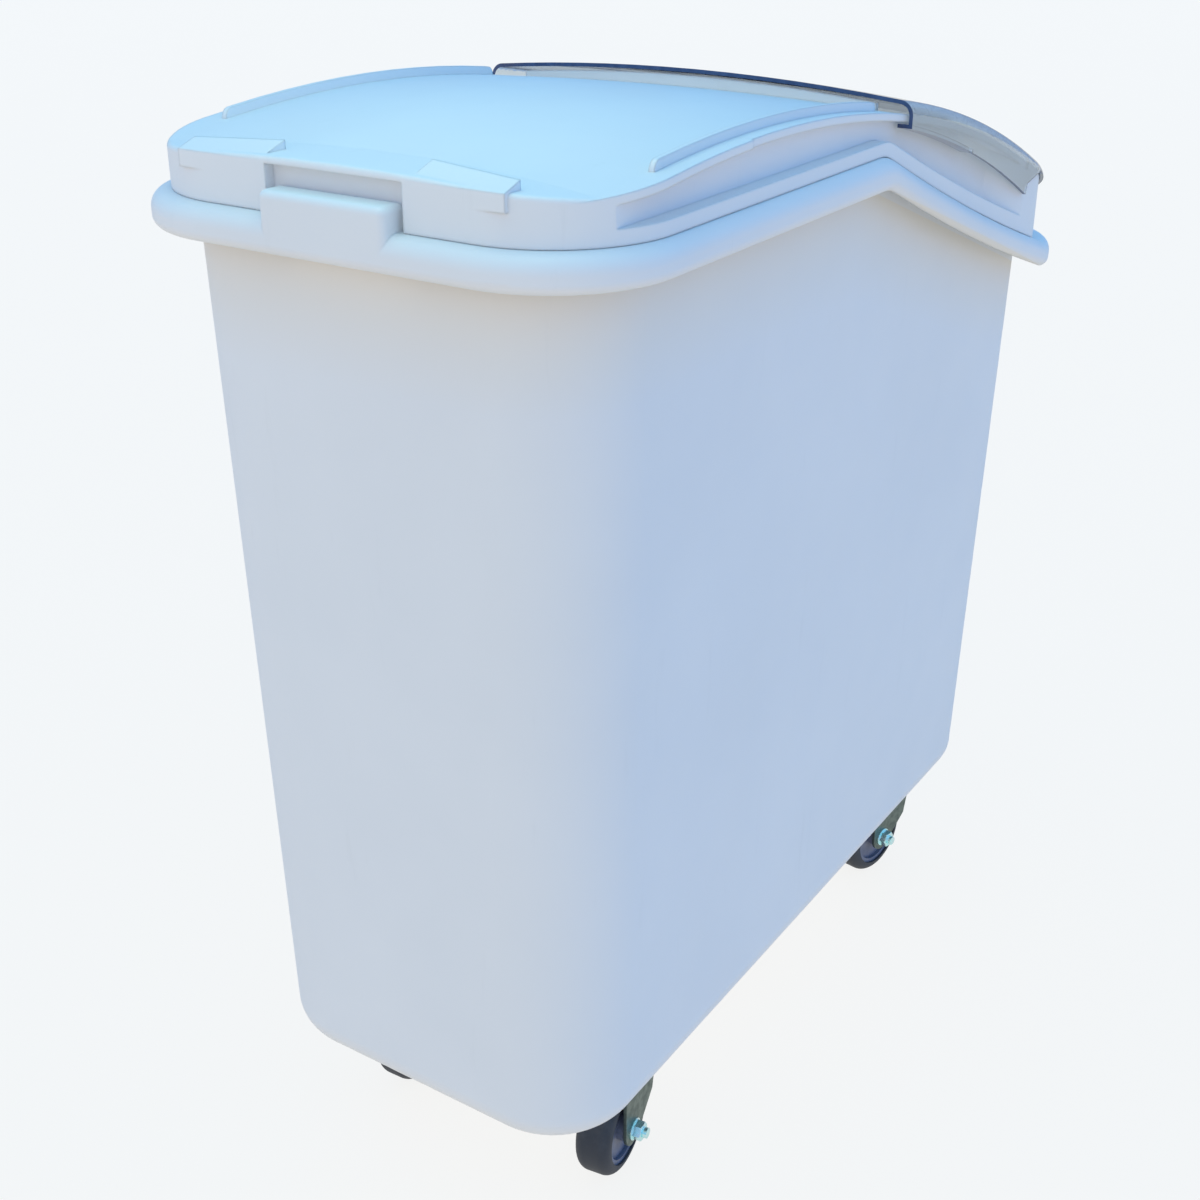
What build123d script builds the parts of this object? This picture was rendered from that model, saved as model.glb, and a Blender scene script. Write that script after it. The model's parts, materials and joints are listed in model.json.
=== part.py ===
from build123d import *
import math
import os

# Mobile food bin: a deep plastic tub on four swivel casters, with a lift-off lid whose front half is a
# clear cover that slides back over the rear half.
# X runs from the rear end (-X) to the front end (+X), Y across, Z up. The origin is on the floor, centred
# under the rim. All lengths are in millimetres and all angles in degrees.

# ---------------------------------------------------------------- tub
CASTER_HEIGHT = 98.0
BASE_HALF = (340.0, 141.2)
NECK_HALF = (350.2, 152.1)
BASE_CORNER = 64.0
NECK_CORNER = 66.0
BASE_EDGE_RADIUS = 26.0
TUB_WALL = 4.0
TUB_FLOOR = 5.0

# ---------------------------------------------------------------- rim line
RIM_HALF = (372.0, 175.8)
RIM_CORNER = 78.0
RIM_TOP_REAR = 720.0
RIM_TOP_FRONT = 602.5
RIM_HEIGHT = 21.0
SLOPE_START_X = -19.0
SLOPE_END_X = 305.0
SLOPE_SAG = 4.2
APEX_RADIUS = 45.0
TOE_RADIUS = 40.0
RIM_TOP_ROUND = 10.5
RIM_UNDER_ROUND = 6.5
RIM_SKIN = 5.0

# ---------------------------------------------------------------- rim block at the rear end
BLOCK_HALF_WIDTH = 44.0
BLOCK_TOP = 735.0
BLOCK_DEPTH = 19.0
BLOCK_ROUND = 4.5

# ---------------------------------------------------------------- lid
LID_HALF = (359.5, 167.3)
LID_CORNER_REAR = 73.0
LID_CORNER_FRONT = 88.0
SEAT_GAP = 0.3
LEDGE_TOP_REAR = 729.0
LEDGE_TOP_FRONT = 615.5
LEDGE_START_X = -15.0
LEDGE_END_X = 308.0
LID_REAR_ROUND = 2.5
LID_WALL = 3.5
LID_DECK_REAR = 751.0
LID_DECK_REAR_EDGE = 743.5
DECK_LEVEL_LENGTH = 120.0
SEAT_OPENING_HALF = (340.0, 142.0)
SEAT_OPENING_CORNER = 57.0
SEAT_THICKNESS = 3.0
PLUG_DEPTH = 12.0
PLUG_WALL = 3.0

# The sliding cover turns about a far axis below the bin, so every surface that it runs on is a circle
# about that axis in side view, and its size is given as a radius from the axis.
ARC_X = -168.5
ARC_Z = -359.8
FLANGE_TOP_R = 1116.5
FLANGE_BOTTOM_R = 1111.5
FLANGE_HALF_WIDTH = 165.5
GROOVE_WALL_Y = 157.0
GROOVE_REAR_X = (-343.0, -331.0)
GROOVE_FRONT_X = (190.0, 252.0)
RAIL_TOP_R = 1122.2
RAIL_Y = (151.0, 154.6)
RAIL_END_ROUND = 6.0
RAIL_REAR_X = -284.0
RAIL_FRONT_X = -13.0
DECK_CROWN_R = 1120.5
DECK_HALF_WIDTH = 150.0
MOUTH_REAR_X = 24.0
MOUTH_HALF_WIDTH = 153.5
MOUTH_SILL_Z = 618.0
MOUTH_SILL_HALF_WIDTH = 151.0
CROSS_RIB_X = 16.0
CROSS_RIB_THICKNESS = 4.0
CROSS_RIB_HALF_WIDTH = 142.0
CROSS_RIB_EDGE_R = 1121.5
CROSS_RIB_CROWN_R = 1128.3

# ---------------------------------------------------------------- lid rear end
POCKET_HALF_WIDTH = 48.0
POCKET_DEPTH = 7.0
POCKET_TOP = 746.5
STOP_INNER_Y = 52.0
STOP_OUTER_Y = 114.0
STOP_REACH_INNER = 22.0
STOP_REACH_OUTER = 14.0
STOP_TOP = 755.5

# ---------------------------------------------------------------- sliding cover
COVER_EDGE_R = 1124.0
COVER_CROWN_R = 1132.8
COVER_HALF_WIDTH = 170.4
COVER_SHEET = 2.6
COVER_REAR_X = 12.0
COVER_FRONT_X = 364.6
COVER_CORNER = 92.0
COVER_BEND = 10.0
SKIRT_REAR = (11.0, 733.0)
SKIRT_MID = (135.0, 697.3)
SKIRT_FRONT = (249.0, 650.0)
CORNER_STEP_Z = 658.0
CORNER_RUN_R = 1117.6
CORNER_RUN_X = (281.0, 313.0)
LIP_X = 345.0
LIP_BOTTOM_Z = 620.0
HOOK_REACH_Y = 160.0
HOOK_FRONT_X = 128.0
HOOK_THICKNESS = 2.6

# ---------------------------------------------------------------- casters
# Each caster: swivel axis (x, y) and the resting swivel angle, turned about Z from a wheel trailing to -X.
CASTERS = {
    "rear_right": (-206.0, -92.0, 8.0),
    "rear_left": (-206.0, 92.0, 2.0),
    "front_right": (257.0, -92.0, -10.0),
    "front_left": (257.0, 92.0, -6.0),
}
WHEEL_RADIUS = 38.2
TRAIL = 24.0
TYRE_WIDTH = 28.0
TYRE_SEAT_RADIUS = 29.0
TYRE_SHOULDER = 8.5
CORE_WEB = 18.0
CORE_RIM_WIDTH = 24.0
HUB_RADIUS = 11.0
HUB_WIDTH = 30.0
BUSH_OUTER_RADIUS = 7.5
BUSH_INNER_RADIUS = 6.05
SLEEVE_RADIUS = 6.0
AXLE_RADIUS = 4.0
AXLE_CLEARANCE = 0.05
FORK_INSIDE = 32.0
FORK_SHEET = 2.6
CROWN_TOP = 87.6
CROWN_RADIUS = 24.0
PLATE_SIZE = (80.0, 46.0)
PLATE_THICKNESS = 3.0
PLATE_CORNER = 8.0
BOLT_PITCH = (60.0, 26.0)
BOLT_RADIUS = 4.0
BOLT_HOLE_RADIUS = 4.3
BOLT_SEAT_THICKNESS = 1.6
WASHER_RADIUS = 8.2
RACE_RADIUS = 16.5
BALL_RADIUS = 2.75
BALL_COUNT = 16
BALL_HEIGHT = 88.7
KINGPIN_RADIUS = 5.0
KINGPIN_BORE = 5.06
KINGPIN_HEAD = (9.0, 78.2, 81.8)
KINGPIN_SEAT = 0.4
RACE_CAP = (15.0, 2.8)
PLATE_RACE = (21.5, 90.0)
LEG_FOOT_RADIUS = 13.0
LEG_REAR_HEIGHT = 32.0
LEG_FRONT = (34.0, 12.0)
LEG_TOE = (9.2, -9.2)
LEG_TOP_X = (6.0, 42.0)
HEX_FLATS = 13.0
HEX_CORNER_TURN = (0.7, 1.2)
NUT_HEIGHT = 6.5
AXLE_HEAD_HEIGHT = 5.3
AXLE_BEYOND_FORK = 11.5
AXLE_WASHER = (8.5, 1.5)
THREAD_CLEARANCE = 0.03
MOUNTING_BOLT_END_Z = 86.0
MOUNTING_BOLT_HEAD = (7.0, 4.5)
MOUNTING_HEAD_ROUND = 2.5

# Heights that lie clear below and clear above the lid, for cutting tools.
BELOW_LID = 560.0
ABOVE_LID = 820.0
BIG = 900.0
UPRIGHT = (Align.CENTER, Align.CENTER, Align.MIN)


# ---------------------------------------------------------------- shared outlines
def rounded_plan(half, corner, z):
    """Rounded rectangle face at height z."""
    return (Plane.XY.offset(z) * RectangleRounded(2 * half[0], 2 * half[1], corner)).face()


def prism(half, corner, z0, z1):
    return extrude(rounded_plan(half, corner, z0), z1 - z0)


def side_face(wire):
    """Face in the XZ plane from a closed wire."""
    return make_face(wire).face()


def below_slope(z_rear, z_front, x_start, x_end):
    """Solid under a line that is level, slopes down in a shallow arc and is level again."""
    a = (x_start, z_rear)
    b = (x_end, z_front)
    outline = Plane.XZ * (
        Curve()
        + Line((-BIG, z_rear), a)
        + SagittaArc(a, b, -SLOPE_SAG)
        + Line(b, (BIG, z_front))
        + Line((BIG, z_front), (BIG, 0))
        + Line((BIG, 0), (-BIG, 0))
        + Line((-BIG, 0), (-BIG, z_rear))
    )
    face = side_face(outline)
    apex = face.vertices().sort_by_distance((x_start, 0, z_rear))[0]
    face = face.fillet_2d(APEX_RADIUS, [apex])
    toe = face.vertices().sort_by_distance((x_end, 0, z_front))[0]
    face = face.fillet_2d(TOE_RADIUS, [toe])
    return extrude(face, BIG, both=True)


def below_rim(drop=0.0):
    """Solid under the tub's rim line, lowered by drop."""
    return below_slope(RIM_TOP_REAR - drop, RIM_TOP_FRONT - drop, SLOPE_START_X, SLOPE_END_X)


def below_ledge(drop=0.0):
    return below_slope(LEDGE_TOP_REAR - drop, LEDGE_TOP_FRONT - drop, LEDGE_START_X, LEDGE_END_X)


def arc_drum(edge_r, crown_r, half_width):
    """Barrel about the cover's axis: edge_r at the sides, crown_r in the middle."""
    outline = Plane((ARC_X, 0, ARC_Z), x_dir=(0, 1, 0), z_dir=(1, 0, 0)) * (
        Curve()
        + ThreePointArc((-half_width, edge_r), (0, crown_r), (half_width, edge_r))
        + Line((half_width, edge_r), (half_width, 0))
        + Line((half_width, 0), (-half_width, 0))
        + Line((-half_width, 0), (-half_width, edge_r))
    )
    axis = Axis((ARC_X, 0, ARC_Z), (0, 1, 0))
    swung = side_face(outline).rotate(axis, -40)
    return revolve(swung, axis, revolution_arc=80)


def arc_height(x, r):
    """Height of the circle of radius r about the cover's axis, at x."""
    return ARC_Z + math.sqrt(r * r - (x - ARC_X) ** 2)


def box_between(x0, x1, y0, y1, z0, z1):
    centre = ((x0 + x1) / 2, (y0 + y1) / 2, (z0 + z1) / 2)
    return Pos(*centre) * Box(x1 - x0, y1 - y0, z1 - z0)


def write(shape, name):
    """Write one sub-part, keeping only its solids."""
    solids = shape.solids()
    export_step(solids[0] if len(solids) == 1 else Compound(children=solids), f"parts/{name}.step")


# ---------------------------------------------------------------- tub
def tub_loft(inset, z0, z1):
    """Drafted tub volume between two heights, moved in by inset all round."""
    faces = []
    for z in (z0, z1):
        k = (z - CASTER_HEIGHT) / (RIM_TOP_REAR - CASTER_HEIGHT)
        half = [b + (n - b) * k - inset for b, n in zip(BASE_HALF, NECK_HALF)]
        corner = BASE_CORNER + (NECK_CORNER - BASE_CORNER) * k - inset
        faces.append(rounded_plan(half, corner, z))
    return loft(faces, ruled=True)


def caster_bolt_points():
    """Centre of every caster mounting bolt."""
    points = []
    for x, y, _ in CASTERS.values():
        for dx in (-BOLT_PITCH[0] / 2, BOLT_PITCH[0] / 2):
            for dy in (-BOLT_PITCH[1] / 2, BOLT_PITCH[1] / 2):
                points.append((x + dx, y + dy))
    return points


def make_bin_body():
    outside = tub_loft(0, CASTER_HEIGHT, RIM_TOP_REAR + 10)
    outside = fillet(outside.edges().group_by(Axis.Z)[0], BASE_EDGE_RADIUS)
    outside &= below_rim()
    rim = prism(RIM_HALF, RIM_CORNER, RIM_TOP_FRONT - 80, RIM_TOP_REAR + 10) & below_rim()
    rim -= below_rim(RIM_HEIGHT)
    outer_edges = [e for e in rim.edges() if not is_flat_side_edge(e)]
    top_edges = [e for e in outer_edges if on_rim_line(e, 0)]
    rim = fillet(top_edges, RIM_TOP_ROUND)
    under_edges = [e for e in rim.edges() if on_rim_line(e, RIM_HEIGHT)]
    rim = fillet(under_edges, RIM_UNDER_ROUND)
    skin_half = [h - RIM_SKIN for h in RIM_HALF]
    hollow = prism(skin_half, RIM_CORNER - RIM_SKIN, RIM_TOP_FRONT - 80, RIM_TOP_REAR + 10)
    hollow = (hollow & below_rim(RIM_SKIN)) - tub_loft(0, CASTER_HEIGHT, RIM_TOP_REAR + 10)
    block = box_between(
        -RIM_HALF[0], -RIM_HALF[0] + BLOCK_DEPTH, -BLOCK_HALF_WIDTH, BLOCK_HALF_WIDTH,
        RIM_TOP_REAR - RIM_HEIGHT, BLOCK_TOP,
    )
    foot = block.edges().filter_by(Axis.Y).group_by(Axis.Z)[0].sort_by(Axis.X)[0]
    block = fillet(foot, RIM_UNDER_ROUND)
    rounded = block.edges().group_by(Axis.Z)[-1] + block.edges().filter_by(Axis.Z).group_by(Axis.X)[0]
    block = fillet(rounded, BLOCK_ROUND)
    body = outside + (rim - hollow) + block
    cavity = tub_loft(TUB_WALL, CASTER_HEIGHT + TUB_FLOOR, RIM_TOP_REAR + 10)
    body -= fillet(cavity.edges().group_by(Axis.Z)[0], BASE_EDGE_RADIUS - TUB_WALL)
    for x, y in caster_bolt_points():
        body -= Pos(x, y, CASTER_HEIGHT) * Cylinder(BOLT_HOLE_RADIUS, 40)
    return body


def is_flat_side_edge(edge):
    """True for an edge that stands upright on the outside of the rim."""
    box = edge.bounding_box()
    return box.size.X < 0.01 and box.size.Y < 0.01


def on_rim_line(edge, drop):
    """True where an edge's middle lies on the rim line lowered by drop."""
    mid = edge @ 0.5
    if mid.X < SLOPE_START_X - 25:
        target = RIM_TOP_REAR - drop
    elif mid.X > SLOPE_END_X + 8:
        target = RIM_TOP_FRONT - drop
    else:
        run = (mid.X - SLOPE_START_X) / (SLOPE_END_X - SLOPE_START_X)
        target = RIM_TOP_REAR + (RIM_TOP_FRONT - RIM_TOP_REAR) * run - drop
    return abs(mid.Z - target) < 7


# ---------------------------------------------------------------- lid
def arc_cylinder(r):
    """Cylinder of radius r about the cover's axis."""
    return Pos(ARC_X, 0, ARC_Z) * Rot(90, 0, 0) * Cylinder(r, BIG)


def front_rounded_plan(x0, x1, half_width, corner, z):
    """Rectangle from x0 to x1 with its two front corners rounded."""
    plan = Pos((x0 + x1) / 2, 0) * Rectangle(x1 - x0, 2 * half_width)
    return Pos(0, 0, z) * fillet(plan.vertices().group_by(Axis.X)[-1], corner)


def lid_prism(inset, z0, z1):
    """Lid outline moved in by inset, as an upright solid."""
    half_length = LID_HALF[0] - inset
    half_width = LID_HALF[1] - inset
    plan = Rectangle(2 * half_length, 2 * half_width)
    plan = fillet(plan.vertices().group_by(Axis.X)[0], LID_CORNER_REAR - inset)
    plan = fillet(plan.vertices().group_by(Axis.X)[-1], LID_CORNER_FRONT - inset)
    return extrude(Pos(0, 0, z0) * plan, z1 - z0)


def side_groove(side):
    """Space that the cover's hook runs in, along one side of the lid."""
    outer = 200.0
    outline = Polyline(
        (GROOVE_REAR_X[0], LID_HALF[1]),
        (GROOVE_REAR_X[1], GROOVE_WALL_Y),
        (GROOVE_FRONT_X[0], GROOVE_WALL_Y),
        (GROOVE_FRONT_X[1], LID_HALF[1]),
        (GROOVE_FRONT_X[1], outer),
        (GROOVE_REAR_X[0], outer),
        close=True,
    )
    space = extrude(Pos(0, 0, BELOW_LID) * make_face(outline), ABOVE_LID - BELOW_LID)
    space = (space & arc_cylinder(FLANGE_BOTTOM_R)) - below_ledge()
    trim = box_between(-200, GROOVE_FRONT_X[1], FLANGE_HALF_WIDTH, outer, BELOW_LID, ABOVE_LID)
    trim = (trim & arc_cylinder(FLANGE_TOP_R + 30)) - arc_cylinder(FLANGE_BOTTOM_R - 1)
    space += trim - below_ledge()
    return space if side > 0 else mirror(space, Plane.XZ)


def lid_rail(side):
    """Upright rail on the deck that the cover slides on when it is pushed back."""
    y0, y1 = sorted((side * RAIL_Y[0], side * RAIL_Y[1]))
    ring = arc_cylinder(RAIL_TOP_R) - arc_cylinder(FLANGE_TOP_R - 2)
    rail = ring & box_between(RAIL_REAR_X, RAIL_FRONT_X, y0, y1, 700, 800)
    return fillet([e for e in rail.edges().filter_by(Axis.Y) if is_top_end(e)], RAIL_END_ROUND)


def is_top_end(edge):
    """True for a crosswise edge at the rail's top radius."""
    mid = edge.center()
    return math.hypot(mid.X - ARC_X, mid.Z - ARC_Z) > RAIL_TOP_R - 0.5


def lid_cross_rib():
    """Upright strip under the closed cover's rear edge."""
    rib = arc_drum(CROSS_RIB_EDGE_R, CROSS_RIB_CROWN_R, CROSS_RIB_HALF_WIDTH) & box_between(
        CROSS_RIB_X, CROSS_RIB_X + CROSS_RIB_THICKNESS,
        -CROSS_RIB_HALF_WIDTH, CROSS_RIB_HALF_WIDTH, 700, 800,
    )
    return rib - arc_cylinder(FLANGE_TOP_R - 3)


def rear_deck():
    """Solid under the level rear end of the deck, which is crowned across."""
    half = LID_HALF[1]
    outline = Plane.YZ * (
        Curve()
        + ThreePointArc((-half, LID_DECK_REAR_EDGE), (0, LID_DECK_REAR), (half, LID_DECK_REAR_EDGE))
        + Line((half, LID_DECK_REAR_EDGE), (half, 0))
        + Line((half, 0), (-half, 0))
        + Line((-half, 0), (-half, LID_DECK_REAR_EDGE))
    )
    return Pos(-LID_HALF[0] - 5, 0, 0) * extrude(side_face(outline), DECK_LEVEL_LENGTH, dir=(1, 0, 0))


def lid_stop(side):
    """Wedge beside the finger pocket, rising from the lid's rear edge."""
    rear = -LID_HALF[0]
    foot = LID_DECK_REAR - 5
    outline = Polyline(
        (rear, side * STOP_INNER_Y),
        (rear + STOP_REACH_INNER, side * STOP_INNER_Y),
        (rear + STOP_REACH_OUTER, side * STOP_OUTER_Y),
        (rear, side * STOP_OUTER_Y),
        close=True,
    )
    column = extrude(Pos(0, 0, foot) * make_face(outline), 20)
    ramp = Plane.XZ * Polyline(
        (rear, foot),
        (rear, foot + 2),
        (rear + STOP_REACH_INNER, STOP_TOP),
        (rear + STOP_REACH_INNER, foot),
        close=True,
    )
    y0, y1 = sorted((side * STOP_INNER_Y, side * STOP_OUTER_Y))
    heel = box_between(rear, rear + LID_WALL, y0, y1, foot - 8, foot + 2)
    return (column & extrude(side_face(ramp), BIG, both=True)) + heel


def make_lid():
    blank = lid_prism(0, BELOW_LID, ABOVE_LID) - below_rim(-SEAT_GAP)
    crown = arc_drum(FLANGE_TOP_R, DECK_CROWN_R, DECK_HALF_WIDTH) & box_between(
        -LID_HALF[0], MOUTH_REAR_X, -DECK_HALF_WIDTH, DECK_HALF_WIDTH, 700, ABOVE_LID
    )
    lid = blank & (arc_cylinder(FLANGE_TOP_R) + rear_deck() + crown)
    lid = fillet([e for e in lid.edges() if on_rear_outline(e)], LID_REAR_ROUND)
    lid -= side_groove(1)
    lid -= side_groove(-1)
    lid -= lid_cavity()
    lid -= prism(SEAT_OPENING_HALF, SEAT_OPENING_CORNER, BELOW_LID, RIM_TOP_REAR + 4)
    plug_half = [h + PLUG_WALL for h in SEAT_OPENING_HALF]
    plug = prism(plug_half, SEAT_OPENING_CORNER + PLUG_WALL, BELOW_LID, ABOVE_LID)
    plug -= prism(SEAT_OPENING_HALF, SEAT_OPENING_CORNER, BELOW_LID, ABOVE_LID)
    plug = (plug & below_rim(-SEAT_GAP - 1)) - below_rim(PLUG_DEPTH)
    lid += plug
    lid -= mouth()
    lid -= box_between(300, 400, -MOUTH_SILL_HALF_WIDTH, MOUTH_SILL_HALF_WIDTH, MOUTH_SILL_Z, 700)
    pocket_front = -LID_HALF[0] - 2
    pocket_back = -LID_HALF[0] + POCKET_DEPTH
    lid -= box_between(pocket_front, pocket_back, -POCKET_HALF_WIDTH, POCKET_HALF_WIDTH, 690, POCKET_TOP)
    for side in (-1, 1):
        lid += lid_rail(side)
        lid += lid_stop(side)
    lid += lid_cross_rib()
    return lid


def on_rear_outline(edge):
    """True for an edge that runs round the top of the lid's rear end."""
    mid = edge @ 0.5
    return mid.X < -LID_HALF[0] + 15 and mid.Z > LID_DECK_REAR_EDGE


def lid_cavity():
    """Hollow inside the lid, above its seat and below its deck."""
    roof = arc_drum(FLANGE_TOP_R - LID_WALL, DECK_CROWN_R - LID_WALL, DECK_HALF_WIDTH + 20)
    space = (lid_prism(LID_WALL, BELOW_LID, ABOVE_LID) & roof) - below_rim(-SEAT_GAP - SEAT_THICKNESS)
    wall_y = GROOVE_WALL_Y - LID_WALL
    x0 = GROOVE_REAR_X[0] + LID_WALL
    x1 = GROOVE_FRONT_X[1] - LID_WALL
    for side in (-1, 1):
        y0, y1 = sorted((side * wall_y, side * 200))
        space -= box_between(x0, x1, y0, y1, BELOW_LID, ABOVE_LID)
    pocket_reach = -LID_HALF[0] + POCKET_DEPTH + LID_WALL
    pocket_side = POCKET_HALF_WIDTH + LID_WALL
    space -= box_between(-400, pocket_reach, -pocket_side, pocket_side, BELOW_LID, ABOVE_LID)
    return space


def mouth():
    """Opening that the sliding cover closes."""
    front = LID_HALF[0] - LID_WALL
    plan = front_rounded_plan(MOUTH_REAR_X, front, MOUTH_HALF_WIDTH, LID_CORNER_FRONT - 14, BELOW_LID)
    return extrude(plan, ABOVE_LID - BELOW_LID) - below_rim(-SEAT_GAP - SEAT_THICKNESS)


# ---------------------------------------------------------------- sliding cover
def cover_volume(inset):
    """Solid inside the cover's skin when inset is its thickness, or the whole volume when it is 0."""
    half_width = COVER_HALF_WIDTH - inset
    plan = front_rounded_plan(-60, COVER_FRONT_X - inset, half_width, COVER_CORNER - inset, BELOW_LID)
    barrel = arc_drum(COVER_EDGE_R - inset, COVER_CROWN_R - inset, COVER_HALF_WIDTH)
    volume = extrude(plan, ABOVE_LID - BELOW_LID) & barrel
    top = volume.faces().sort_by(Axis.Z)[-1]
    bend_edges = [e for e in top.edges() if e.center().X > -55]
    return fillet(bend_edges, COVER_BEND - inset)


def skirt_arc(raise_by=0.0):
    """Lower edge of the side skirt."""
    points = [(x, z + raise_by) for x, z in (SKIRT_REAR, SKIRT_MID, SKIRT_FRONT)]
    return ThreePointArc(*points)


def above_cover_edge():
    """Everything above the cover's lower edge, in side view."""
    run_start, run_middle = [(x, arc_height(x, CORNER_RUN_R)) for x in CORNER_RUN_X]
    run_end = (LIP_X, arc_height(LIP_X, CORNER_RUN_R))
    outline = Plane.XZ * (
        Curve()
        + skirt_arc()
        + Line(SKIRT_FRONT, (SKIRT_FRONT[0] + 2, CORNER_STEP_Z))
        + Line((SKIRT_FRONT[0] + 2, CORNER_STEP_Z), run_start)
        + ThreePointArc(run_start, run_middle, run_end)
        + Line(run_end, (LIP_X + 5, LIP_BOTTOM_Z))
        + Line((LIP_X + 5, LIP_BOTTOM_Z), (420, LIP_BOTTOM_Z))
        + Line((420, LIP_BOTTOM_Z), (420, 900))
        + Line((420, 900), (SKIRT_REAR[0], 900))
        + Line((SKIRT_REAR[0], 900), SKIRT_REAR)
    )
    return extrude(side_face(outline), BIG, both=True)


def cover_hook(side):
    """Inward hook at the foot of the skirt, under the lid's flange."""
    low = skirt_arc()
    high = skirt_arc(HOOK_THICKNESS)
    outline = Plane.XZ * (
        Curve() + low + Line(low @ 1, high @ 1) + high + Line(low @ 0, high @ 0)
    )
    bar = extrude(side_face(outline), BIG, both=True)
    y0, y1 = sorted((side * HOOK_REACH_Y, side * (COVER_HALF_WIDTH - 1)))
    return bar & box_between(COVER_REAR_X, HOOK_FRONT_X, y0, y1, 600, 800)


def make_sliding_cover():
    skin = cover_volume(0) - cover_volume(COVER_SHEET)
    cover = skin & above_cover_edge() & box_between(COVER_REAR_X, 420, -BIG, BIG, 500, 900)
    for side in (-1, 1):
        cover += cover_hook(side)
    return cover


# ---------------------------------------------------------------- casters
def across(radius, length, centre_y=0.0):
    """Cylinder along Y about the wheel's axle."""
    return Pos(0, centre_y, 0) * Rot(90, 0, 0) * Cylinder(radius, length)


def place(shape, caster):
    """Move a piece drawn about the axle to its place under the bin."""
    x, y, turn = CASTERS[caster]
    return Pos(x, y, WHEEL_RADIUS) * Rot(0, 0, turn) * Pos(-TRAIL, 0, 0) * shape


def nut_side(caster):
    """+1 where the axle's nut points to +Y, -1 where it points to -Y: outwards on both sides."""
    return 1 if CASTERS[caster][1] > 0 else -1


def hexagon(height):
    """Hexagon from z = 0 upwards, with the corners of its top turned down."""
    corner_radius = HEX_FLATS / math.sqrt(3)
    turned = Cylinder(corner_radius + 0.1, height, align=UPRIGHT)
    turned = chamfer(turned.edges().group_by(Axis.Z)[-1], *HEX_CORNER_TURN)
    return extrude(RegularPolygon(corner_radius, 6), height) & turned


def race_groove(z):
    """Torus that the ball ring leaves in the two races, about the swivel axis."""
    return Pos(TRAIL, 0, z - WHEEL_RADIUS) * Torus(RACE_RADIUS, BALL_RADIUS + 0.05)


def swivel_cylinder(radius, z0, z1):
    return Pos(TRAIL, 0, (z0 + z1) / 2 - WHEEL_RADIUS) * Cylinder(radius, z1 - z0)


def make_tyre():
    profile = Plane.XY * Pos(TYRE_SEAT_RADIUS, -TYRE_WIDTH / 2) * Rectangle(
        WHEEL_RADIUS - TYRE_SEAT_RADIUS, TYRE_WIDTH, align=(Align.MIN, Align.MIN)
    )
    outer = profile.vertices().group_by(Axis.X)[-1]
    return revolve(fillet(outer, TYRE_SHOULDER), Axis.Y)


def make_wheel_core():
    rim = across(TYRE_SEAT_RADIUS, CORE_RIM_WIDTH) - across(TYRE_SEAT_RADIUS - 3.5, CORE_RIM_WIDTH)
    web = across(TYRE_SEAT_RADIUS - 3, CORE_WEB)
    hub = across(HUB_RADIUS, HUB_WIDTH)
    return rim + web + hub - across(BUSH_OUTER_RADIUS, HUB_WIDTH)


def make_wheel_bush():
    return across(BUSH_OUTER_RADIUS, HUB_WIDTH) - across(BUSH_INNER_RADIUS, HUB_WIDTH)


def make_axle_sleeve():
    length = FORK_INSIDE
    return across(SLEEVE_RADIUS, length) - across(AXLE_RADIUS + AXLE_CLEARANCE, length)


def make_fork():
    top = CROWN_TOP - WHEEL_RADIUS
    outline = Plane.XZ * Polyline(
        (-LEG_FOOT_RADIUS, 0),
        (-LEG_FOOT_RADIUS, LEG_REAR_HEIGHT),
        (LEG_TOP_X[0], top),
        (LEG_TOP_X[1], top),
        LEG_FRONT,
        LEG_TOE,
        close=True,
    )
    leg = side_face(outline) + (Plane.XZ * Circle(LEG_FOOT_RADIUS)).face()
    plates = extrude(leg, FORK_INSIDE / 2 + FORK_SHEET, both=True)
    plates -= box_between(-60, 80, -FORK_INSIDE / 2, FORK_INSIDE / 2, -60, top - FORK_SHEET)
    plates = plates & box_between(-60, 80, -40, 40, -60, top)
    crown = swivel_cylinder(CROWN_RADIUS, CROWN_TOP - FORK_SHEET, CROWN_TOP)
    fork = plates + crown
    fork -= swivel_cylinder(KINGPIN_BORE, CROWN_TOP - 10, CROWN_TOP + 10)
    fork -= across(AXLE_RADIUS + AXLE_CLEARANCE, 80)
    return fork - race_groove(BALL_HEIGHT)


def make_race_cap():
    top = CROWN_TOP - FORK_SHEET
    radius, depth = RACE_CAP
    return swivel_cylinder(radius, top - depth, top) - swivel_cylinder(KINGPIN_BORE + SEAT_GAP, top - 5, top)


def make_kingpin():
    radius, head_bottom, head_top = KINGPIN_HEAD
    top = CASTER_HEIGHT - PLATE_THICKNESS + KINGPIN_SEAT
    return swivel_cylinder(KINGPIN_RADIUS, head_bottom, top) + swivel_cylinder(radius, head_bottom, head_top)


def make_plate():
    top = CASTER_HEIGHT
    plate = Pos(TRAIL, 0, top - PLATE_THICKNESS - WHEEL_RADIUS) * extrude(
        RectangleRounded(*PLATE_SIZE, PLATE_CORNER), PLATE_THICKNESS
    )
    radius, bottom = PLATE_RACE
    plate += swivel_cylinder(radius, bottom, top - PLATE_THICKNESS)
    plate -= swivel_cylinder(KINGPIN_RADIUS, bottom - 10, top - PLATE_THICKNESS + KINGPIN_SEAT)
    for dx in (-BOLT_PITCH[0] / 2, BOLT_PITCH[0] / 2):
        for dy in (-BOLT_PITCH[1] / 2, BOLT_PITCH[1] / 2):
            plate -= Pos(TRAIL + dx, dy, top - WHEEL_RADIUS) * Cylinder(BOLT_HOLE_RADIUS, 20)
    return plate - race_groove(BALL_HEIGHT)


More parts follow.
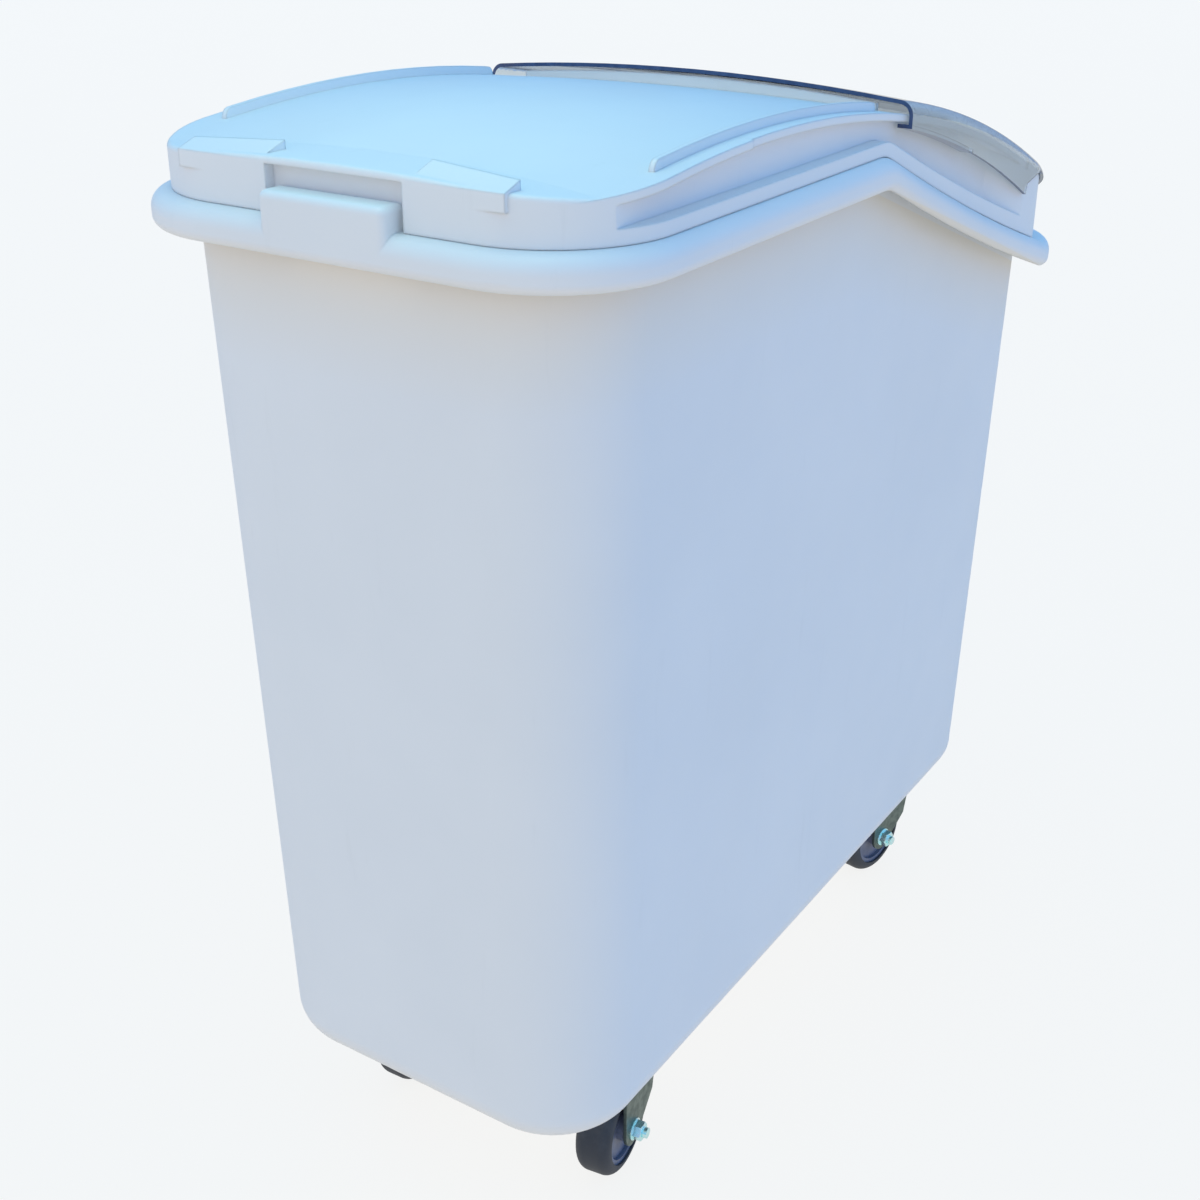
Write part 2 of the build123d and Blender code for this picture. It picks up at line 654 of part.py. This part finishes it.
def make_ball_ring():
    balls = []
    for i in range(BALL_COUNT):
        a = 2 * math.pi * i / BALL_COUNT
        centre = (TRAIL + RACE_RADIUS * math.cos(a), RACE_RADIUS * math.sin(a), BALL_HEIGHT - WHEEL_RADIUS)
        balls.append(Pos(*centre) * Sphere(BALL_RADIUS))
    return Compound(children=balls)


def make_axle_bolt(side):
    outer = FORK_INSIDE / 2 + FORK_SHEET
    shank = across(AXLE_RADIUS, 2 * outer + AXLE_BEYOND_FORK, side * AXLE_BEYOND_FORK / 2)
    head = Rot(90 * side, 0, 0) * Pos(0, 0, outer) * hexagon(AXLE_HEAD_HEIGHT)
    return shank + head


def make_axle_nut(side):
    outer = FORK_INSIDE / 2 + FORK_SHEET
    washer = Pos(0, 0, outer) * Cylinder(*AXLE_WASHER, align=UPRIGHT)
    nut = Pos(0, 0, outer + AXLE_WASHER[1]) * hexagon(NUT_HEIGHT)
    bore = Cylinder(AXLE_RADIUS + THREAD_CLEARANCE, 100)
    return Rot(-90 * side, 0, 0) * ((washer + nut) - bore)


def fastener_group(make_one):
    """One copy of a mounting fastener at every bolt point."""
    return Compound(children=[Pos(x, y, 0) * make_one() for x, y in caster_bolt_points()])


def make_mounting_bolt():
    seat = CASTER_HEIGHT + TUB_FLOOR + BOLT_SEAT_THICKNESS
    length = seat - MOUNTING_BOLT_END_Z
    shank = Pos(0, 0, MOUNTING_BOLT_END_Z) * Cylinder(BOLT_RADIUS, length, align=UPRIGHT)
    head = Pos(0, 0, seat) * Cylinder(*MOUNTING_BOLT_HEAD, align=UPRIGHT)
    return shank + fillet(head.edges().group_by(Axis.Z)[-1], MOUNTING_HEAD_ROUND)


def make_mounting_washer():
    washer = Cylinder(WASHER_RADIUS, BOLT_SEAT_THICKNESS, align=UPRIGHT) - Cylinder(BOLT_HOLE_RADIUS, 10)
    return Pos(0, 0, CASTER_HEIGHT + TUB_FLOOR) * washer


def make_mounting_nut():
    nut = Rot(180, 0, 0) * (hexagon(NUT_HEIGHT) - Cylinder(BOLT_RADIUS + THREAD_CLEARANCE, 20))
    return Pos(0, 0, CASTER_HEIGHT - PLATE_THICKNESS) * nut


def write_casters():
    for caster in CASTERS:
        side = nut_side(caster)
        pieces = {
            "fork": make_fork(),
            "race_cap": make_race_cap(),
            "ball_ring": make_ball_ring(),
            "axle_bolt": make_axle_bolt(side),
            "axle_nut": make_axle_nut(side),
            "axle_sleeve": make_axle_sleeve(),
            "wheel_bush": make_wheel_bush(),
            "wheel_core": make_wheel_core(),
            "tyre": make_tyre(),
        }
        for name, piece in pieces.items():
            write(place(piece, caster), f"{caster}_{name}")
        x, y, _ = CASTERS[caster]
        for name, piece in (("plate", make_plate()), ("kingpin", make_kingpin())):
            write(Pos(x - TRAIL, y, WHEEL_RADIUS) * piece, f"{caster}_{name}")


if __name__ == "__main__":
    os.makedirs("parts", exist_ok=True)
    write(make_bin_body(), "bin_body")
    write(make_lid(), "lid")
    write(make_sliding_cover(), "sliding_cover")
    write_casters()
    write(fastener_group(make_mounting_bolt), "mounting_bolts")
    write(fastener_group(make_mounting_washer), "mounting_washers")
    write(fastener_group(make_mounting_nut), "mounting_nuts")
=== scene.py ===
import json
import math

import bpy
from mathutils import Euler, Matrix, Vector

# Mobile pet food bin: a white plastic tub with a lift-off lid, a clear sliding cover and four casters.
# The CAD shapes are kept. This scene gives them their finishes, the floor, the light and the camera.

# ---------------------------------------------------------------- camera, in metres and degrees
CAMERA_PLACE = (-1.0152, -0.6008, 0.9148)
CAMERA_YAW = 33.27
CAMERA_PITCH = -25.51
CAMERA_LENS = 49.03
SENSOR_WIDTH = 36.0
SIGHT_LIMIT = 100.0

# ---------------------------------------------------------------- light
ZENITH_COLOUR = (0.20, 0.65, 1.05)
REAR_HORIZON_COLOUR = (1.58, 1.24, 1.04)
FRONT_HORIZON_COLOUR = (0.0, 0.34, 1.36)
MIRRORED_HORIZON_COLOUR = (0.36, 0.46, 0.64)
MIRRORED_ZENITH_COLOUR = (0.55, 0.80, 1.05)
HORIZON_POWER = 0.7
REARWARD_POWER = 1.7
SKY_STRENGTH = 1.0
FLOOR_SIZE = 60.0
FLOOR_SEEN = (0.86, 0.86, 0.85)
FLOOR_GLOW = (0.68, 0.67, 0.63)
FLOOR_GLOW_STRENGTH = 1.0
FLOOR_COLOUR = (0.10, 0.09, 0.08)
FLOOR_GRAIN = 0.97
FLOOR_ROUGHNESS = 0.9
FLOOR_SPECULAR = 0.1
LAMP_PLACE = (-0.35, -0.03, 1.05)
LAMP_SIZE = (0.30, 0.30)
LAMP_POWER = 0.43
LAMP_COLOUR = (0.80, 1.0, 0.60)

# ---------------------------------------------------------------- finishes and painted shade
SMOOTH_ANGLE = 32.0
NOISE_SPAN = (0.3, 0.7)
CLOUD_SPAN = (0.35, 0.65)
POLYETHYLENE = (0.80, 0.81, 0.82)
POLYETHYLENE_SHADE = (0.76, 0.775, 0.79)
# Warm painted shade for a band of the tub wall just under the rim, where the rim shades it: its colour, how
# far down it fades and how strong it is.
PAINTED_RIM_SHADE = (0.80, 0.755, 0.67)
PAINTED_RIM_SHADE_DEPTH = 0.075
PAINTED_RIM_SHADE_AMOUNT = 0.85
SCUFF = (0.55, 0.56, 0.56)
SCUFF_AMOUNT = 0.10
SCATTER_WEIGHT = 0.08
SCATTER_RADIUS = 0.006
POLYETHYLENE_IOR = 1.5
# Line of the rim's top edge along the tub, and how far under it the band of painted shade starts.
RIM_TOP_REAR = 0.720
RIM_SLOPE_START = -0.019
RIM_SLOPE = -0.3627
RIM_LINE_UPPER = 0.0205
RIM_LINE_LOWER = 0.0215
SOFT_EDGE = 0.0022
SOFT_EDGE_METAL = 0.0006
SOFT_EDGE_SAMPLES = 6
ZINC = (0.19, 0.24, 0.22)
ZINC_DARK = (0.13, 0.165, 0.155)
FASTENER = (0.50, 0.96, 1.0)
FASTENER_PALE = (0.74, 0.93, 1.0)
NAVY = (0.16, 0.18, 0.26)
NAVY_SHADE = (0.125, 0.145, 0.215)
RUBBER = (0.026, 0.032, 0.046)
RUBBER_DUST = (0.075, 0.080, 0.090)
NYLON = (0.74, 0.72, 0.66)
NYLON_SHADE = (0.68, 0.66, 0.60)
STEEL = (0.58, 0.58, 0.59)
STEEL_SHADE = (0.45, 0.45, 0.46)
EDGE_ABSORPTION = (0.30, 0.52, 0.84)
EDGE_ABSORPTION_DENSITY = 9.0
CLEAR = (0.84, 0.93, 1.0)
# Painted navy shade on the clear sheet where it is seen at a grazing angle: the angles where it starts and
# where it is full, and how see-through the sheet stays there.
CLEAR_GRAZING_PAINTED_SHADE = (0.03, 0.055, 0.15)
CLEAR_GRAZING_FROM = 0.66
CLEAR_GRAZING_FULL = 0.95
CLEAR_GRAZING_TRANSMISSION = 0.25
POLYCARBONATE_IOR = 1.585
# Painted shade: opaque dark navy for the cut edges of the clear sheet seen end on, with a paler random
# tone.
COVER_EDGE_PAINTED_SHADE = (0.030, 0.050, 0.125)
COVER_EDGE_PAINTED_SHADE_PALE = (0.050, 0.085, 0.190)
# Which faces of the cover get the painted edge shade.
COVER_REAR_EDGE_X = 0.0125
COVER_SIDE_Y = 0.1675
FACES_REAR = -0.95
FACES_DOWN = -0.5


# ---------------------------------------------------------------- material helpers
def new_material(name):
    """(material, node tree, Principled node) with a fresh Principled shader."""
    material = bpy.data.materials.new(name)
    material.use_nodes = True
    tree = material.node_tree
    return material, tree, tree.nodes["Principled BSDF"]


def object_point(tree):
    """The point on the object in metres, as a socket."""
    return tree.nodes.new("ShaderNodeTexCoord").outputs["Object"]


def noise(tree, scale, detail=4.0, roughness=0.55, stretch=None):
    """Noise value socket; scale is in features per metre, and stretch squeezes it along each axis."""
    texture = tree.nodes.new("ShaderNodeTexNoise")
    texture.inputs["Scale"].default_value = scale
    texture.inputs["Detail"].default_value = detail
    texture.inputs["Roughness"].default_value = roughness
    point = object_point(tree)
    if stretch:
        mapping = tree.nodes.new("ShaderNodeMapping")
        mapping.inputs["Scale"].default_value = stretch
        tree.links.new(point, mapping.inputs["Vector"])
        point = mapping.outputs["Vector"]
    tree.links.new(point, texture.inputs["Vector"])
    return texture.outputs["Fac"]


def remap(tree, value, from_low, from_high, to_low, to_high):
    """value moved from one range to another and held inside it."""
    node = tree.nodes.new("ShaderNodeMapRange")
    node.inputs["From Min"].default_value = from_low
    node.inputs["From Max"].default_value = from_high
    node.inputs["To Min"].default_value = to_low
    node.inputs["To Max"].default_value = to_high
    tree.links.new(value, node.inputs["Value"])
    return node.outputs["Result"]


def blend_colours(tree, factor, first, second):
    """Colour socket from first to second; each is a colour or another socket."""
    node = tree.nodes.new("ShaderNodeMix")
    node.data_type = "RGBA"
    tree.links.new(factor, node.inputs["Factor"])
    for socket, colour in ((node.inputs["A"], first), (node.inputs["B"], second)):
        if isinstance(colour, tuple):
            socket.default_value = (*colour, 1.0)
        else:
            tree.links.new(colour, socket)
    return node.outputs["Result"]


def maths(tree, operation, first, second):
    """One step of arithmetic; each input is a number or a socket."""
    node = tree.nodes.new("ShaderNodeMath")
    node.operation = operation
    for socket, value in ((node.inputs[0], first), (node.inputs[1], second)):
        if isinstance(value, float):
            socket.default_value = value
        else:
            tree.links.new(value, socket)
    return node.outputs["Value"]


def soft_edges(tree, radius):
    """Normal socket that rounds every hard edge by radius."""
    node = tree.nodes.new("ShaderNodeBevel")
    node.samples = SOFT_EDGE_SAMPLES
    node.inputs["Radius"].default_value = radius
    return node.outputs["Normal"]


def bump(tree, shader, layers, normal=None):
    """Bumps from (height socket, strength, depth in metres) layers, coarse first."""
    for height, strength, depth in layers:
        node = tree.nodes.new("ShaderNodeBump")
        node.inputs["Strength"].default_value = strength
        node.inputs["Distance"].default_value = depth
        tree.links.new(height, node.inputs["Height"])
        if normal:
            tree.links.new(normal, node.inputs["Normal"])
        normal = node.outputs["Normal"]
    tree.links.new(normal, shader.inputs["Normal"])


# ---------------------------------------------------------------- materials
def make_polyethylene():
    """Opaque moulded polyethylene: faint mottling, slight waviness, fine mould texture, soft scuffs, and a
    band of warm painted shade on the wall just under the rim.
    """
    material, tree, shader = new_material("white_polyethylene")
    mottle = remap(tree, noise(tree, 5.0, 3.0), *NOISE_SPAN, 0.0, 1.0)
    colour = blend_colours(tree, mottle, POLYETHYLENE, POLYETHYLENE_SHADE)
    # Painted shade: a warm band that starts just under the rim line and fades out downwards.
    split = tree.nodes.new("ShaderNodeSeparateXYZ")
    tree.links.new(object_point(tree), split.inputs["Vector"])
    along = maths(tree, "MAXIMUM", maths(tree, "SUBTRACT", split.outputs["X"], RIM_SLOPE_START), 0.0)
    rim_height = maths(tree, "ADD", maths(tree, "MULTIPLY", along, RIM_SLOPE), RIM_TOP_REAR)
    below_rim = maths(tree, "SUBTRACT", rim_height, split.outputs["Z"])
    painted_rim_shade_mask = maths(
        tree,
        "MULTIPLY",
        remap(tree, below_rim, RIM_LINE_UPPER, RIM_LINE_LOWER, 0.0, 1.0),
        remap(tree, below_rim, RIM_LINE_UPPER, RIM_LINE_UPPER + PAINTED_RIM_SHADE_DEPTH, PAINTED_RIM_SHADE_AMOUNT, 0.0),
    )
    colour = blend_colours(tree, painted_rim_shade_mask, colour, PAINTED_RIM_SHADE)
    scuffs = remap(tree, noise(tree, 60.0, 6.0, 0.7, (1.0, 1.0, 0.12)), 0.62, 0.75, 0.0, SCUFF_AMOUNT)
    colour = blend_colours(tree, scuffs, colour, SCUFF)
    tree.links.new(colour, shader.inputs["Base Color"])
    tree.links.new(remap(tree, noise(tree, 22.0, 5.0), *NOISE_SPAN, 0.40, 0.52), shader.inputs["Roughness"])
    shader.inputs["Subsurface Weight"].default_value = SCATTER_WEIGHT
    shader.inputs["Subsurface Radius"].default_value = (SCATTER_RADIUS,) * 3
    shader.inputs["Subsurface Scale"].default_value = 1.0
    shader.inputs["IOR"].default_value = POLYETHYLENE_IOR
    bump(tree, shader, [
        (noise(tree, 7.0, 1.0), 0.10, 0.002),
        (noise(tree, 700.0, 2.0), 0.10, 0.0002),
    ], soft_edges(tree, SOFT_EDGE))
    return material


def make_polycarbonate():
    """Clear polycarbonate with a navy painted shade where the sheet is seen at a grazing angle, with the
    view running along it; there it is also less see-through.
    """
    material, tree, shader = new_material("clear_polycarbonate")
    # Painted shade: navy colour set by viewing angle, strongest at grazing angles.
    grazing = tree.nodes.new("ShaderNodeLayerWeight")
    grazing.inputs["Blend"].default_value = 0.5
    facing = grazing.outputs["Facing"]
    painted_grazing_shade = remap(tree, facing, CLEAR_GRAZING_FROM, CLEAR_GRAZING_FULL, 0.0, 1.0)
    tree.links.new(blend_colours(tree, painted_grazing_shade, CLEAR, CLEAR_GRAZING_PAINTED_SHADE), shader.inputs["Base Color"])
    see_through = remap(
        tree, facing, CLEAR_GRAZING_FROM, CLEAR_GRAZING_FULL, 1.0, CLEAR_GRAZING_TRANSMISSION
    )
    tree.links.new(see_through, shader.inputs["Transmission Weight"])
    shader.inputs["IOR"].default_value = POLYCARBONATE_IOR
    tree.links.new(remap(tree, noise(tree, 30.0, 6.0), 0.3, 0.8, 0.02, 0.07), shader.inputs["Roughness"])
    bump(tree, shader, [(noise(tree, 9.0, 1.0), 0.04, 0.002)])
    absorb = tree.nodes.new("ShaderNodeVolumeAbsorption")
    absorb.inputs["Color"].default_value = (*EDGE_ABSORPTION, 1.0)
    absorb.inputs["Density"].default_value = EDGE_ABSORPTION_DENSITY
    tree.links.new(absorb.outputs["Volume"], tree.nodes["Material Output"].inputs["Volume"])
    return material


def make_metal(name, bright, dark, rough_low, rough_high, scale):
    """Plated or bare steel with a cloudy tint, and roughness that varies with it."""
    material, tree, shader = new_material(name)
    cloud = noise(tree, scale, 5.0, 0.6)
    clouded = blend_colours(tree, remap(tree, cloud, *CLOUD_SPAN, 0.0, 1.0), bright, dark)
    tree.links.new(clouded, shader.inputs["Base Color"])
    tree.links.new(remap(tree, cloud, *NOISE_SPAN, rough_low, rough_high), shader.inputs["Roughness"])
    shader.inputs["Metallic"].default_value = 1.0
    bump(tree, shader, [(noise(tree, 1400.0, 3.0), 0.12, 0.0001)], soft_edges(tree, SOFT_EDGE_METAL))
    return material


def make_plastic(name, base, shade, rough_low, rough_high):
    """Moulded technical plastic with a fine grain."""
    material, tree, shader = new_material(name)
    cloud = noise(tree, 90.0, 4.0)
    clouded = blend_colours(tree, remap(tree, cloud, *CLOUD_SPAN, 0.0, 1.0), base, shade)
    tree.links.new(clouded, shader.inputs["Base Color"])
    tree.links.new(remap(tree, cloud, *NOISE_SPAN, rough_low, rough_high), shader.inputs["Roughness"])
    bump(tree, shader, [(noise(tree, 1100.0, 3.0), 0.15, 0.0002)])
    return material


def make_rubber():
    """Dark rubber, dusty in patches, with a dull fine grain."""
    material, tree, shader = new_material("tyre_rubber")
    dust = remap(tree, noise(tree, 45.0, 7.0, 0.65), 0.48, 0.75, 0.0, 0.8)
    tree.links.new(blend_colours(tree, dust, RUBBER, RUBBER_DUST), shader.inputs["Base Color"])
    tree.links.new(remap(tree, dust, 0.0, 0.8, 0.55, 0.85), shader.inputs["Roughness"])
    bump(tree, shader, [
        (noise(tree, 130.0, 4.0), 0.15, 0.0005),
        (noise(tree, 1600.0, 2.0), 0.25, 0.0002),
    ])
    return material


def make_materials():
    """Material for each of the record's slots."""
    return {
        "white_polyethylene": make_polyethylene(),
        "clear_polycarbonate": make_polycarbonate(),
        "zinc_sheet": make_metal("zinc_sheet", ZINC, ZINC_DARK, 0.38, 0.55, 160.0),
        "zinc_fasteners": make_metal("zinc_fasteners", FASTENER, FASTENER_PALE, 0.16, 0.32, 240.0),
        "bearing_steel": make_metal("bearing_steel", STEEL, STEEL_SHADE, 0.10, 0.22, 300.0),
        "nylon": make_plastic("nylon", NYLON, NYLON_SHADE, 0.40, 0.55),
        "navy_plastic": make_plastic("navy_plastic", NAVY, NAVY_SHADE, 0.35, 0.50),
        "tyre_rubber": make_rubber(),
    }


# ---------------------------------------------------------------- dressing the CAD nodes
def mark_cover_edges(node, painted_edge_shade):
    """Give the cut edges of the clear sheet, seen end on, an opaque dark navy material: painted shade for
    the dark look of the sheet's edges.
    """
    node.data.materials.append(painted_edge_shade)
    for polygon in node.data.polygons:
        rear_cut = polygon.normal.x < FACES_REAR and polygon.center.x < COVER_REAR_EDGE_X
        skirt_foot = polygon.normal.z < FACES_DOWN and abs(polygon.center.y) > COVER_SIDE_Y
        if rear_cut or skirt_foot:
            polygon.material_index = 1


def smooth(node):
    """Soft shading over curved faces, with creases kept."""
    for polygon in node.data.polygons:
        polygon.use_smooth = True
    with bpy.context.temp_override(
        object=node, active_object=node, selected_objects=[node], selected_editable_objects=[node]
    ):
        bpy.ops.object.shade_smooth_by_angle(angle=math.radians(SMOOTH_ANGLE))


def dress(frame):
    """Give every CAD node the material of its slot."""
    materials = make_materials()
    for part in frame["record"]["subparts"]:
        node = frame["nodes"][part["node"]]
        node.data.materials.clear()
        node.data.materials.append(materials[part["material_slot"]])
        smooth(node)
    # Painted shade: the cover's cut edges get an opaque dark navy material.
    edge = make_plastic("clear_cover_edge_painted_shade", COVER_EDGE_PAINTED_SHADE, COVER_EDGE_PAINTED_SHADE_PALE, 0.12, 0.25)
    mark_cover_edges(frame["nodes"]["sliding_cover"], edge)


# ---------------------------------------------------------------- floor, light, camera
def make_floor():
    """Pale floor that lights the bin from below, in a dimmer and warmer tone than the camera sees."""
    half = FLOOR_SIZE / 2
    mesh = bpy.data.meshes.new("floor")
    corners = [(-half, -half, 0), (half, -half, 0), (half, half, 0), (-half, half, 0)]
    mesh.from_pydata(corners, [], [(0, 1, 2, 3)])
    floor = bpy.data.objects.new("floor", mesh)
    bpy.context.scene.collection.objects.link(floor)
    material, tree, shader = new_material("pale_floor")
    grain = remap(tree, noise(tree, 3.0, 2.0), *NOISE_SPAN, 0.0, 1.0)
    shade = tuple(FLOOR_GRAIN * part for part in FLOOR_COLOUR)
    tree.links.new(blend_colours(tree, grain, FLOOR_COLOUR, shade), shader.inputs["Base Color"])
    shader.inputs["Roughness"].default_value = FLOOR_ROUGHNESS
    shader.inputs["Specular IOR Level"].default_value = FLOOR_SPECULAR
    seen = tree.nodes.new("ShaderNodeLightPath").outputs["Is Camera Ray"]
    tree.links.new(blend_colours(tree, seen, FLOOR_GLOW, FLOOR_SEEN), shader.inputs["Emission Color"])
    shader.inputs["Emission Strength"].default_value = FLOOR_GLOW_STRENGTH
    mesh.materials.append(material)


def make_sky():
    """Soft dome of tinted light: blue overhead and towards the front end, warm towards the rear end."""
    world = bpy.data.worlds.new("soft_dome")
    world.use_nodes = True
    tree = world.node_tree
    place = tree.nodes.new("ShaderNodeTexCoord").outputs["Generated"]
    split = tree.nodes.new("ShaderNodeSeparateXYZ")
    tree.links.new(place, split.inputs["Vector"])
    rearward = maths(tree, "POWER", remap(tree, split.outputs["X"], -1.0, 1.0, 1.0, 0.0), REARWARD_POWER)
    horizon = blend_colours(tree, rearward, FRONT_HORIZON_COLOUR, REAR_HORIZON_COLOUR)
    height = maths(tree, "POWER", remap(tree, split.outputs["Z"], 0.0, 1.0, 0.0, 1.0), HORIZON_POWER)
    lighting = blend_colours(tree, height, horizon, ZENITH_COLOUR)
    mirrored = blend_colours(tree, height, MIRRORED_HORIZON_COLOUR, MIRRORED_ZENITH_COLOUR)
    glossy = tree.nodes.new("ShaderNodeLightPath").outputs["Is Glossy Ray"]
    sky = blend_colours(tree, glossy, lighting, mirrored)
    background = tree.nodes["Background"]
    tree.links.new(sky, background.inputs["Color"])
    background.inputs["Strength"].default_value = SKY_STRENGTH
    bpy.context.scene.world = world


def make_lamp():
    """Broad soft lamp over the rear end of the lid."""
    light = bpy.data.lights.new("overhead_lamp", "AREA")
    light.shape = "RECTANGLE"
    light.size, light.size_y = LAMP_SIZE
    light.energy = LAMP_POWER
    light.color = LAMP_COLOUR
    lamp = bpy.data.objects.new("overhead_lamp", light)
    lamp.location = LAMP_PLACE
    bpy.context.scene.collection.objects.link(lamp)


def make_camera():
    """Camera beyond the rear right corner of the bin, looking forwards and down."""
    camera = bpy.data.cameras.new("camera")
    camera.lens = CAMERA_LENS
    camera.sensor_width = SENSOR_WIDTH
    camera.clip_end = SIGHT_LIMIT
    holder = bpy.data.objects.new("camera", camera)
    holder.location = CAMERA_PLACE
    tilt = math.radians(90.0 + CAMERA_PITCH)
    holder.rotation_euler = Euler((tilt, 0.0, math.radians(CAMERA_YAW - 90.0)), "XYZ")
    bpy.context.scene.collection.objects.link(holder)
    bpy.context.scene.camera = holder


with open("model.json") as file:
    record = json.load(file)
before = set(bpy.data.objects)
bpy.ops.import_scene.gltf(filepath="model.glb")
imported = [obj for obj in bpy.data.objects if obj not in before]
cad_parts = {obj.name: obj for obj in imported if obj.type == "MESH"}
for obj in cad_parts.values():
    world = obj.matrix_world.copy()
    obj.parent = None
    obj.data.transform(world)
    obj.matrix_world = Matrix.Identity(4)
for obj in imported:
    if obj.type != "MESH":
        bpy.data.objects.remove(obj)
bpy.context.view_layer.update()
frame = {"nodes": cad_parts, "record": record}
dress(frame)
make_floor()
make_sky()
make_lamp()
make_camera()
bpy.context.scene.view_settings.view_transform = "Standard"
